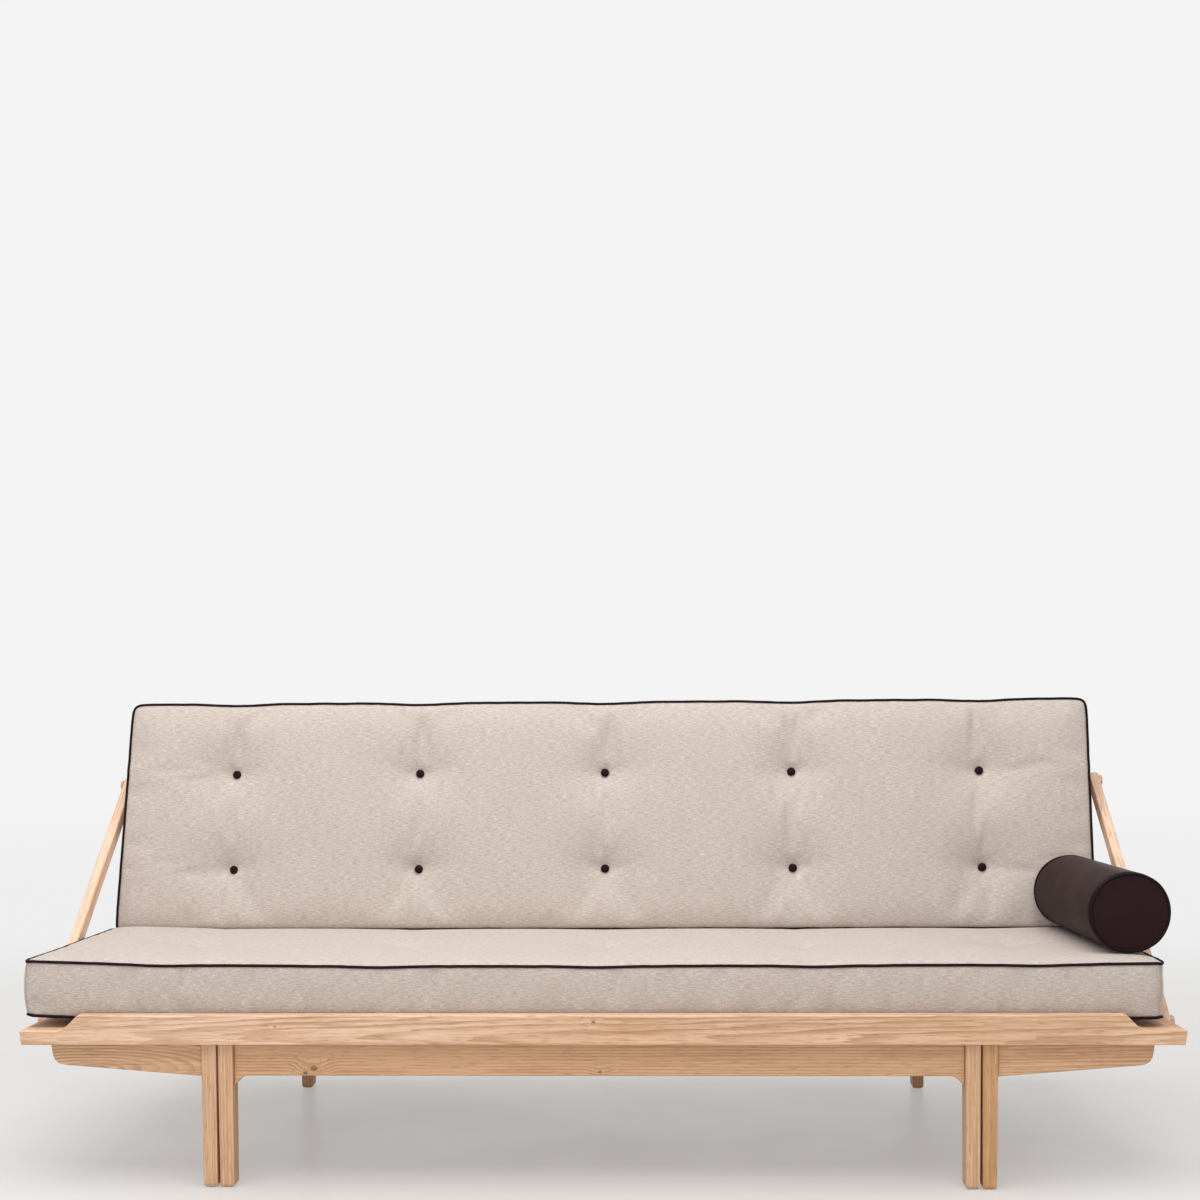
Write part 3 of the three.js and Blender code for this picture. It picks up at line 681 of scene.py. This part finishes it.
def lay_back_cushion(covers):
    """Shapes, stuffs and tufts the back cushion in its own measures, then leans it back."""
    place, low_row = face_frame()
    rows = [low_row, low_row + (BUTTONS[BUTTON_COLUMNS] - BUTTONS[0]).length]
    half = CUSHION_HIGH.x - covers.swell_room / 2
    foot, top = -covers.foot_drop, CUSHION_HEIGHT
    front, rear = -covers.cushion_edge, -CUSHION_THICK + 0.004
    finer = CUSHION_FINE_REACH, CUSHION_FINE_STEP
    pad = Pad(lines(-half, half, CUSHION_STEP, COLUMN_PLACES, *finer),
              lines(foot, top, CUSHION_STEP, rows, *finer),
              lines(rear, front, DEPTH_STEP))
    pad.round_corners(covers.cushion_corner, only_high_y=True)
    x, up = pad.flat[:, 0], pad.flat[:, 1]
    foot_rise = -pad.points[:, 2] * math.tan(BACK_LEAN)
    share = (top - pad.points[:, 1]) / (top - foot)
    pad.points[:, 1] += foot_rise * share
    pad.points[:, 0] -= covers.foot_spread * share * np.clip(-x / half, 0, 1)

    edge = pad.edge_distance()
    sewn = pad.on_seam | pad.on_low
    beside_foot = np.minimum(half - np.abs(x), top - up)
    crown = covers.cushion_crown * (1 - np.exp(-beside_foot / CUSHION_CROWN_REACH))
    pad.points[pad.on_high, 2] += crown[pad.on_high]
    forward = (pad.flat[:, 2] - rear) / (front - rear)
    pad.points[:, 2] -= forward * covers.foot_tuck * np.exp(-(up - foot) / FOOT_TUCK_REACH)
    pull = np.zeros(len(x))
    for column in COLUMN_PLACES:
        for row in rows:
            away = np.hypot(x - column, up - row)
            slope = np.exp(-(np.maximum(away - 0.008, 0) / CUSHION_TUFT_REACH))
            pull = np.maximum(pull, slope)
            sewn = sewn | (pad.on_high & (away < HELD_ROUND_BUTTON))
    seat = -BUTTON_SINK - 0.0032
    lifted = pad.points[:, 2] + (seat - pad.points[:, 2]) * pull
    pad.points[pad.on_high, 2] = lifted[pad.on_high]

    body = pad.make("back_cushion_cover", bpy.data.materials["woven_linen"])
    swell(body, np.flatnonzero(sewn), covers.cushion_give, 0.012)
    points = points_of(body)
    wave = edge_wave(points[:, 0], 1)
    reach = np.exp(-(top - up) / 0.05)
    points[:, 1] -= wave * covers.edge_wave * reach
    move_points(body, points)
    subdivide(body)

    points = points_of(body)
    points += normals_of(body) * tuft_folds(points, rows, covers)[:, None]
    move_points(body, points)
    body.data.transform(place)
    body.data.update()
    return body, (pad.high_seam, pad.low_seam)


def tuft_folds(points, rows, covers):
    """How far the front face is pleated out of its smooth shape, round and between buttons."""
    chance = np.random.default_rng(SEED)
    x, up, out = points.T
    face = np.clip((out + 0.030) / 0.015, 0, 1)
    fold = np.zeros(len(x))
    for column in COLUMN_PLACES:
        for row in rows:
            angle = np.arctan2(up - row, x - column)
            away = np.hypot(x - column, up - row)
            fade = np.exp(-(away / 0.038)) * np.clip((away - 0.010) / 0.012, 0, 1)
            fold -= fade * np.cos(4 * (angle - chance.uniform(-0.12, 0.22)))
            fold += 0.25 * fade * np.cos(7 * angle + chance.uniform(0, 2 * math.pi))
        drift = 0.004 * np.sin(up * 23 + chance.uniform(0, 6))
        beside_line = np.abs(x - column - drift)
        crease = np.exp(-beside_line / 0.007) + 0.6 * np.exp(-((beside_line / 0.040) ** 2))
        below_top = np.clip((rows[1] + 0.03 - up) / 0.05, 0, 1)
        fold -= 0.6 * crease * below_top * np.clip((up + 0.008) / 0.02, 0, 1)
    return fold * covers.fold_depth * face


def lay_bolster(covers):
    """Shapes and stuffs the bolster along Y."""
    low, high = BOLSTER_LOW, BOLSTER_HIGH
    radius = (high.x - low.x) / 2
    welt = radius - covers.welt_inset
    half = (high.y - low.y) / 2
    end_place = half - BOLSTER_END
    across = lines(-welt, welt, BOLSTER_STEP)
    pad = Pad(across, across, lines(-end_place, end_place, BOLSTER_STEP))
    pad.round_corners(welt * 0.9999)
    end = np.abs(pad.points[:, 2]) / end_place
    span = np.hypot(pad.points[:, 0], pad.points[:, 1])
    roll = covers.welt_inset * (1 - np.exp(-(1 - end) * half / 0.006))
    roll -= BOLSTER_GROOVE * np.exp(-((((1 - end) * half - BOLSTER_STEP) / 0.003) ** 2))
    tube = ~(pad.on_high | pad.on_low)
    pad.points[tube, :2] *= ((welt + roll) / welt)[tube, None]
    dome = BOLSTER_DOME * (1 - (span / welt) ** 2)
    pad.points[pad.on_high, 2] += dome[pad.on_high]
    pad.points[pad.on_low, 2] -= dome[pad.on_low]
    body = pad.make("bolster_cover", bpy.data.materials["dyed_leather"])
    swell(body, np.flatnonzero(pad.on_seam), covers.bolster_give)
    subdivide(body)
    middle = (low + high) / 2
    beside_arm = Vector((middle.x, ARM_FOOT[1].y + 0.085, middle.z))
    skew = (Matrix.Translation(beside_arm) @ Matrix.Rotation(covers.bolster_skew, 4, "Z")
            @ Matrix.Translation(-beside_arm))
    body.data.transform(skew @ Matrix.Translation(middle) @ Matrix.Rotation(math.pi / 2, 4, "X"))
    points = points_of(body)
    points[:, 2] = np.maximum(points[:, 2], low.z)
    move_points(body, points)
    return body, (pad.low_seam, pad.high_seam), (pad.ring(1), pad.ring(-2))


# ------------------------------------------------------------------ properties

def length_property(name, description, default):
    return bpy.props.FloatProperty(name=name, description=description, default=default,
                                   subtype="DISTANCE", unit="LENGTH")


def colour_property(name, description, default):
    return bpy.props.FloatVectorProperty(name=name, description=description, default=default,
                                         subtype="COLOR", size=3, min=0.0, max=1.0)


def number_property(name, description, default):
    return bpy.props.FloatProperty(name=name, description=description, default=default)


def angle_property(name, description, degrees):
    return bpy.props.FloatProperty(name=name, description=description, subtype="ANGLE",
                                   default=math.radians(degrees))


class DaybedWood(bpy.types.PropertyGroup):
    """Finish of the oak frame"""
    pale: colour_property("Pale oak", "Lightest wood between the rings", (0.775, 0.540, 0.375))
    # Golden is darker as well as yellower; on the apron and brackets under the rail it is partly
    # painted shade.
    golden: colour_property("Golden oak", "Ground of the yellower boards",
                            (0.640, 0.390, 0.205))
    warm: colour_property("Warm oak", "Pinker wood in broad patches", (0.700, 0.440, 0.270))
    ring: colour_property("Late wood", "Darker lines of the growth rings", (0.420, 0.225, 0.108))
    pore: colour_property("Pores", "Short dark pores", (0.270, 0.140, 0.070))
    knot: colour_property("Knot", "Heart of a knot", (0.120, 0.050, 0.022))
    ring_spacing: length_property("Ring spacing", "Width of one year's growth", 0.0052)
    grain_squeeze: number_property("Grain squeeze", "The figure's fineness along to across",
                                   0.055)


class DaybedCloth(bpy.types.PropertyGroup):
    """Linen of the mattress and back cushion"""
    light_yarn: colour_property("Light yarn", "Paler yarn of the cloth", (0.704, 0.628, 0.574))
    dark_yarn: colour_property("Dark yarn", "Darker yarn of the cloth", (0.428, 0.362, 0.318))
    # Fleck also darkens the gaps between threads, as painted shade.
    fleck: colour_property("Fleck", "Small dark flecks in the yarn", (0.280, 0.220, 0.176))
    thread: length_property("Thread", "Distance between threads", 0.0013)


class DaybedHide(bpy.types.PropertyGroup):
    """Leather of the bolster, buttons and piping"""
    deep: colour_property("Deep brown", "Colour in the hide's grain", (0.019, 0.0075, 0.0092))
    worn: colour_property("Worn brown", "Colour of its raised parts", (0.027, 0.0128, 0.0122))
    pebble: length_property("Pebble", "Size of the hide's grain", 0.0014)


class DaybedCovers(bpy.types.PropertyGroup):
    """Sizes of the upholstery"""
    piping: length_property("Piping radius", "Radius of the leather piping", 0.0026)
    welt: length_property("Welt radius", "Radius of the bolster's welts", 0.0029)
    seam: length_property("Seam radius", "Radius of the plain sewn seams", 0.0014)
    swell_room: length_property("Swelling", "How far inside its size a cover is cut", 0.004)
    piping_rise: length_property("Lower piping", "Its height above the mattress's foot", 0.0145)
    mattress_crown: length_property("Mattress crown", "Top above its piping", 0.0095)
    mattress_corner: length_property("Mattress corner", "Radius of its corners", 0.016)
    corner_reach: length_property("Corner reach", "Its front left corner past its end", 0.008)
    left_lift: length_property("Left lift", "How much fuller its left end is", 0.011)
    right_lift: length_property("Right lift", "How much fuller its right end is", 0.003)
    mattress_tuft: length_property("Mattress tufts", "Depth of the dips in its top", 0.013)
    mattress_give: length_property("Mattress give", "Most that stuffing moves it", 0.0045)
    cushion_edge: length_property("Cushion edge", "Front piping behind the face", 0.004)
    cushion_corner: length_property("Cushion corner", "Radius of its top corners", 0.020)
    foot_drop: length_property("Foot drop", "How far the cushion sinks at its foot", 0.008)
    foot_spread: length_property("Foot spread", "Its left foot corner past its top", 0.018)
    foot_tuck: length_property("Foot tuck", "How far the foot's piping is turned under", 0.005)
    cushion_crown: length_property("Cushion crown", "Face in front of its piping", 0.008)
    cushion_give: length_property("Cushion give", "Most that stuffing moves it", 0.0075)
    edge_wave: length_property("Edge wave", "How far tufts pull an edge in", 0.0055)
    fold_depth: length_property("Folds", "Depth of pleats round a button", 0.0009)
    welt_inset: length_property("Welt inset", "Bolster's welt inside its radius", 0.0022)
    bolster_give: length_property("Bolster give", "Most that stuffing moves it", 0.0015)
    bolster_skew: angle_property("Bolster skew", "How far it is turned off square", 1.5)


class DaybedStudio(bpy.types.PropertyGroup):
    """Camera, lights and floor"""
    eye: bpy.props.FloatVectorProperty(
        name="Camera", description="Where the camera stands", default=(0.112, -3.200, 0.798),
        subtype="TRANSLATION", unit="LENGTH", size=3)
    lens: number_property("Lens", "Focal length in millimetres", 49.2)
    yaw: angle_property("Yaw", "Turn to the left", 2.1)
    pitch: angle_property("Pitch", "Tilt down", 2.6)
    roll: angle_property("Roll", "Lean of the camera", -0.4)
    shift: number_property("Shift", "Upward shift of the view", 1 / 6)
    floor: colour_property("Floor", "Colour of the floor", (0.665, 0.648, 0.634))
    # Painted shade: a darker, warmer floor colour round the middle, under the bed.
    floor_shade_tone: colour_property("Painted floor shade", "Warmer colour at its middle",
                                (0.610, 0.570, 0.540))
    # This colour also glows faintly on the floor beside the bed: painted light over the bed's shadow.
    far_floor: colour_property("Far floor", "Colour that it fades to", (0.86, 0.86, 0.86))
    backdrop: colour_property("Backdrop", "Colour behind everything", (0.905, 0.905, 0.905))
    key_power: number_property("Key light", "Power in watts", 104.0)
    fill_power: number_property("Fill light", "Power in watts", 27.0)
    daylight: number_property("Daylight", "Strength all round", 0.64)


class DaybedSettings(bpy.types.PropertyGroup):
    """Everything that can be set on the daybed"""
    wood: bpy.props.PointerProperty(type=DaybedWood)
    cloth: bpy.props.PointerProperty(type=DaybedCloth)
    hide: bpy.props.PointerProperty(type=DaybedHide)
    covers: bpy.props.PointerProperty(type=DaybedCovers)
    studio: bpy.props.PointerProperty(type=DaybedStudio)


# ------------------------------------------------------------------- operators

def area_light(name, place, aim, size, power, colour):
    """A soft rectangular lamp that points at aim."""
    lamp = bpy.data.lights.new(name, "AREA")
    lamp.shape = "RECTANGLE"
    lamp.size, lamp.size_y = size
    lamp.energy = power
    lamp.color = colour
    body = bpy.data.objects.new(name, lamp)
    bpy.context.scene.collection.objects.link(body)
    body.location = place
    body.rotation_euler = (Vector(aim) - Vector(place)).to_track_quat("-Z", "Y").to_euler()
    return body


class DAYBED_OT_studio(bpy.types.Operator):
    """Set up the camera, soft lights, pale floor and white surroundings"""
    bl_idname = "daybed.studio"
    bl_label = "Studio"

    def execute(self, context):
        studio = context.scene.daybed.studio
        context.scene.view_settings.view_transform = "Standard"
        self.camera(context, studio)
        area_light("key_light", *KEY_LIGHT, studio.key_power, (0.985, 0.99, 1.0))
        area_light("fill_light", *FILL_LIGHT, studio.fill_power, (0.97, 0.985, 1.0))
        self.surroundings(context, studio)
        self.floor(context, studio)
        return {"FINISHED"}

    def camera(self, context, studio):
        lens = bpy.data.cameras.new("camera")
        lens.lens, lens.sensor_width, lens.shift_y = studio.lens, 36.0, studio.shift
        camera = bpy.data.objects.new("camera", lens)
        context.scene.collection.objects.link(camera)
        turn = (Matrix.Rotation(studio.yaw, 4, "Z")
                @ Matrix.Rotation(math.pi / 2 - studio.pitch, 4, "X")
                @ Matrix.Rotation(studio.roll, 4, "Z"))
        camera.matrix_world = Matrix.Translation(studio.eye) @ turn
        context.scene.camera = camera

    def surroundings(self, context, studio):
        world = bpy.data.worlds.new("surroundings")
        context.scene.world = world
        world.use_nodes = True
        tree = world.node_tree
        tree.nodes.clear()
        seen = seen_directly(tree)
        daylight = node(tree, "ShaderNodeBackground",
                        {"Color": (1.0, 0.972, 0.938, 1.0), "Strength": studio.daylight})
        white = node(tree, "ShaderNodeBackground",
                     {"Color": colour4(studio.backdrop), "Strength": 1.0})
        mix = node(tree, "ShaderNodeMixShader",
                   {0: seen, 1: daylight.outputs[0], 2: white.outputs[0]})
        node(tree, "ShaderNodeOutputWorld", {"Surface": mix.outputs[0]})

    def floor(self, context, studio):
        material, tree, shader, place = new_material("studio_floor")
        away = node(tree, "ShaderNodeVectorMath", {0: place.outputs["Object"]},
                    operation="LENGTH").outputs["Value"]
        scuffs = cloudy(tree, place.outputs["Object"], 2.2, 4.0, 0.6)
        # Painted shade: the floor turns darker and warmer towards its middle, under the bed.
        worn = blended(tree, spread(tree, away, 0.5, 1.5), colour4(studio.floor_shade_tone),
                       colour4(studio.floor))
        tone = blended(tree, spread(tree, scuffs, 0.35, 0.65, 0.0, 0.06), worn,
                       (0.5, 0.5, 0.5, 1.0))
        finish_shader(tree, shader, tone, spread(tree, scuffs, 0.3, 0.7, 0.27, 0.42),
                      scuffs, 0.05, 0.001)
        shader.inputs["Specular IOR Level"].default_value = 0.25
        glow = node(tree, "ShaderNodeEmission", {"Color": colour4(studio.far_floor)})
        sky = node(tree, "ShaderNodeEmission", {"Color": colour4(studio.backdrop)})
        distant = node(tree, "ShaderNodeMixShader",
                       {0: spread(tree, away, 5.0, 16.0), 1: glow.outputs[0],
                        2: sky.outputs[0]})
        # Painted light: for camera rays the floor glows at 0.38 of the far colour even beside the
        # bed, lifting the bed's shadow, rising to the full glow far off.
        painted_glow_share = sums(tree, "MULTIPLY", spread(tree, away, 1.2, 4.0, 0.38, 1.0), seen_directly(tree))
        surface = node(tree, "ShaderNodeMixShader",
                       {0: painted_glow_share, 1: shader.outputs[0], 2: distant.outputs[0]})
        output = next(n for n in tree.nodes if n.type == "OUTPUT_MATERIAL")
        tree.links.new(surface.outputs[0], output.inputs["Surface"])
        mesh = bpy.data.meshes.new("floor")
        corners = [(x * FLOOR_REACH, y * FLOOR_REACH, 0)
                   for x, y in ((-1, -1), (1, -1), (1, 1), (-1, 1))]
        mesh.from_pydata(corners, [], [(0, 1, 2, 3)])
        mesh.materials.append(material)
        floor = bpy.data.objects.new("floor", mesh)
        context.scene.collection.objects.link(floor)


def seen_directly(tree):
    """1 for rays from the camera and for what glossy and clear surfaces show, else 0."""
    ray = node(tree, "ShaderNodeLightPath")
    seen = sums(tree, "MAXIMUM", ray.outputs["Is Camera Ray"], ray.outputs["Is Glossy Ray"])
    return sums(tree, "MAXIMUM", seen, ray.outputs["Is Transmission Ray"])


class DAYBED_OT_woodwork(bpy.types.Operator):
    """Finish the oak frame, slats, arms and turned pins, each with its grain along it"""
    bl_idname = "daybed.woodwork"
    bl_label = "Woodwork"

    def execute(self, context):
        wood = context.scene.daybed.wood
        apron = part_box("centre_apron")[0]
        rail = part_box("front_rail")[0]
        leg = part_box("outer_leg_left")[1]
        knots = (((-0.490, apron.y, apron.z + 0.030), 0.006),
                 ((-0.505, apron.y, apron.z + 0.022), 0.004),
                 ((0.006, apron.y, apron.z + 0.024), 0.0035))
        upright, lean = along_side(math.pi / 2), along_side(math.pi / 2 - BACK_LEAN)
        timbers = {
            "rail": oak("oak_rail", ALONG_BED, (0, rail.y + 0.045, rail.z + 0.012), wood, -0.25,
                        bend=12.0, grain=0.80, tilt=0.020,
                        knots=(((-0.004, rail.y, rail.z + 0.040), 0.003),
                               ((-0.553, rail.y, rail.z + 0.032), 0.0018))),
            # The apron and brackets under the rail take most of the darker, yellower golden ground:
            # partly their own yellower boards, partly painted shade under the rail.
            "apron": oak("oak_apron", ALONG_BED, (0, apron.y + 0.05, apron.z - 0.09), wood,
                         0.8, grain=0.85, knots=knots),
            "figured": oak("oak_figured", ALONG_BED, (leg.x, apron.y + 0.035, apron.z + 0.03),
                           wood, 0.5, bend=2.5, grain=1.3, tilt=-0.17),
            "bracket": oak("oak_bracket", ALONG_BED, (0, apron.y + 0.06, apron.z - 0.02), wood,
                           1.0, grain=0.85, tilt=0.02),
            "side": oak("oak_side", along_side(0.0), (0.3, 0, 0.12), wood, 0.5),
            "upright": oak("oak_upright", upright, (0.1, -0.15, 0), wood, 0.3),
            # Painted shade: a darker, more golden copy of the upright oak for the right outer leg.
            "shaded": oak("oak_shaded", upright, (0.75, -0.20, 0), wood, 1.3, grain=0.8),
            "lean": oak("oak_lean", lean, (0.2, 0.5, 0), wood, 0.5),
            "arm": oak("oak_arm", along_side(arm_angle()), (0.9, 0.1, 0.2), wood, -0.8,
                       grain=0.35),
        }
        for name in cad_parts:
            if name in SOFT_NODES or name.startswith("tuft_button"):
                continue
            dress(name, timbers[timber_of(name)])
        return {"FINISHED"}


class DAYBED_OT_cloths(bpy.types.Operator):
    """Make the linen and the leather"""
    bl_idname = "daybed.cloths"
    bl_label = "Linen and leather"

    def execute(self, context):
        settings = context.scene.daybed
        linen("woven_linen", settings.cloth)
        leather("dyed_leather", settings.hide)
        leather("piping_leather", settings.hide, grain=1.6, tint=0.6)
        return {"FINISHED"}


class DAYBED_OT_mattress(bpy.types.Operator):
    """Make the stuffed mattress with its piping and plain corner seams"""
    bl_idname = "daybed.mattress"
    bl_label = "Mattress"

    def execute(self, context):
        covers = context.scene.daybed.covers
        body, seams, corners = lay_mattress(covers)
        points = points_of(body)
        piping = piped("mattress_piping", points, seams, (0, 0, 1), covers.piping)
        middle = sum(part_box("mattress"), Vector()) / 2
        outward = [(points[c] + np.sign(points[c] - middle) * (0.0006, 0.0006, 0), False)
                   for c in corners]
        sewn = corded("mattress_corner_seams", outward, covers.seam,
                      bpy.data.materials["woven_linen"], sides=8)
        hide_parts("mattress")
        settle(body, "base")
        settle(piping, "base")
        settle(sewn, "base")
        return {"FINISHED"}


class DAYBED_OT_back_cushion(bpy.types.Operator):
    """Make the tufted back cushion with its piping, and cover its buttons"""
    bl_idname = "daybed.back_cushion"
    bl_label = "Back cushion"

    def execute(self, context):
        covers = context.scene.daybed.covers
        body, seams = lay_back_cushion(covers)
        piping = piped("back_cushion_piping", points_of(body), seams, tuple(BACK_OUT),
                       covers.piping)
        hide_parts("back_cushion")
        settle(body, "back")
        settle(piping, "back")
        for number in range(1, 2 * BUTTON_COLUMNS + 1):
            dress(f"tuft_button_{number}", bpy.data.materials["piping_leather"])
        return {"FINISHED"}


class DAYBED_OT_bolster(bpy.types.Operator):
    """Make the leather bolster with a welt and a sewn line round each end"""
    bl_idname = "daybed.bolster"
    bl_label = "Bolster"

    def execute(self, context):
        covers = context.scene.daybed.covers
        body, ends, lines_sewn = lay_bolster(covers)
        points = points_of(body)
        hide = bpy.data.materials["piping_leather"]
        welts = corded("bolster_welts", [(points[ring], True) for ring in ends],
                       covers.welt, hide)
        sewn = [(beside(points[ring], (0, -1, 0), 0.0005), True) for ring in lines_sewn]
        stitched = corded("bolster_seams", sewn, covers.seam, hide, sides=8)
        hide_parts("bolster")
        settle(body, "bolster")
        settle(welts, "bolster")
        settle(stitched, "bolster")
        return {"FINISHED"}


class DAYBED_PT_panel(bpy.types.Panel):
    """The daybed's steps, in the order in which they run"""
    bl_label = "Daybed"
    bl_idname = "DAYBED_PT_panel"
    bl_space_type = "VIEW_3D"
    bl_region_type = "UI"
    bl_category = "Daybed"

    def draw(self, context):
        for step in STEPS:
            self.layout.operator(step.bl_idname)


STEPS = (DAYBED_OT_studio, DAYBED_OT_woodwork, DAYBED_OT_cloths, DAYBED_OT_mattress,
         DAYBED_OT_back_cushion, DAYBED_OT_bolster)
CLASSES = (DaybedWood, DaybedCloth, DaybedHide, DaybedCovers, DaybedStudio, DaybedSettings,
           *STEPS, DAYBED_PT_panel)


def register():
    for cls in CLASSES:
        bpy.utils.register_class(cls)
    bpy.types.Scene.daybed = bpy.props.PointerProperty(type=DaybedSettings)


def unregister():
    del bpy.types.Scene.daybed
    for cls in reversed(CLASSES):
        bpy.utils.unregister_class(cls)


def main():
    """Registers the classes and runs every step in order."""
    register()
    for step in STEPS:
        group, name = step.bl_idname.split(".")
        getattr(getattr(bpy.ops, group), name)()


if __name__ == "__main__":
    main()
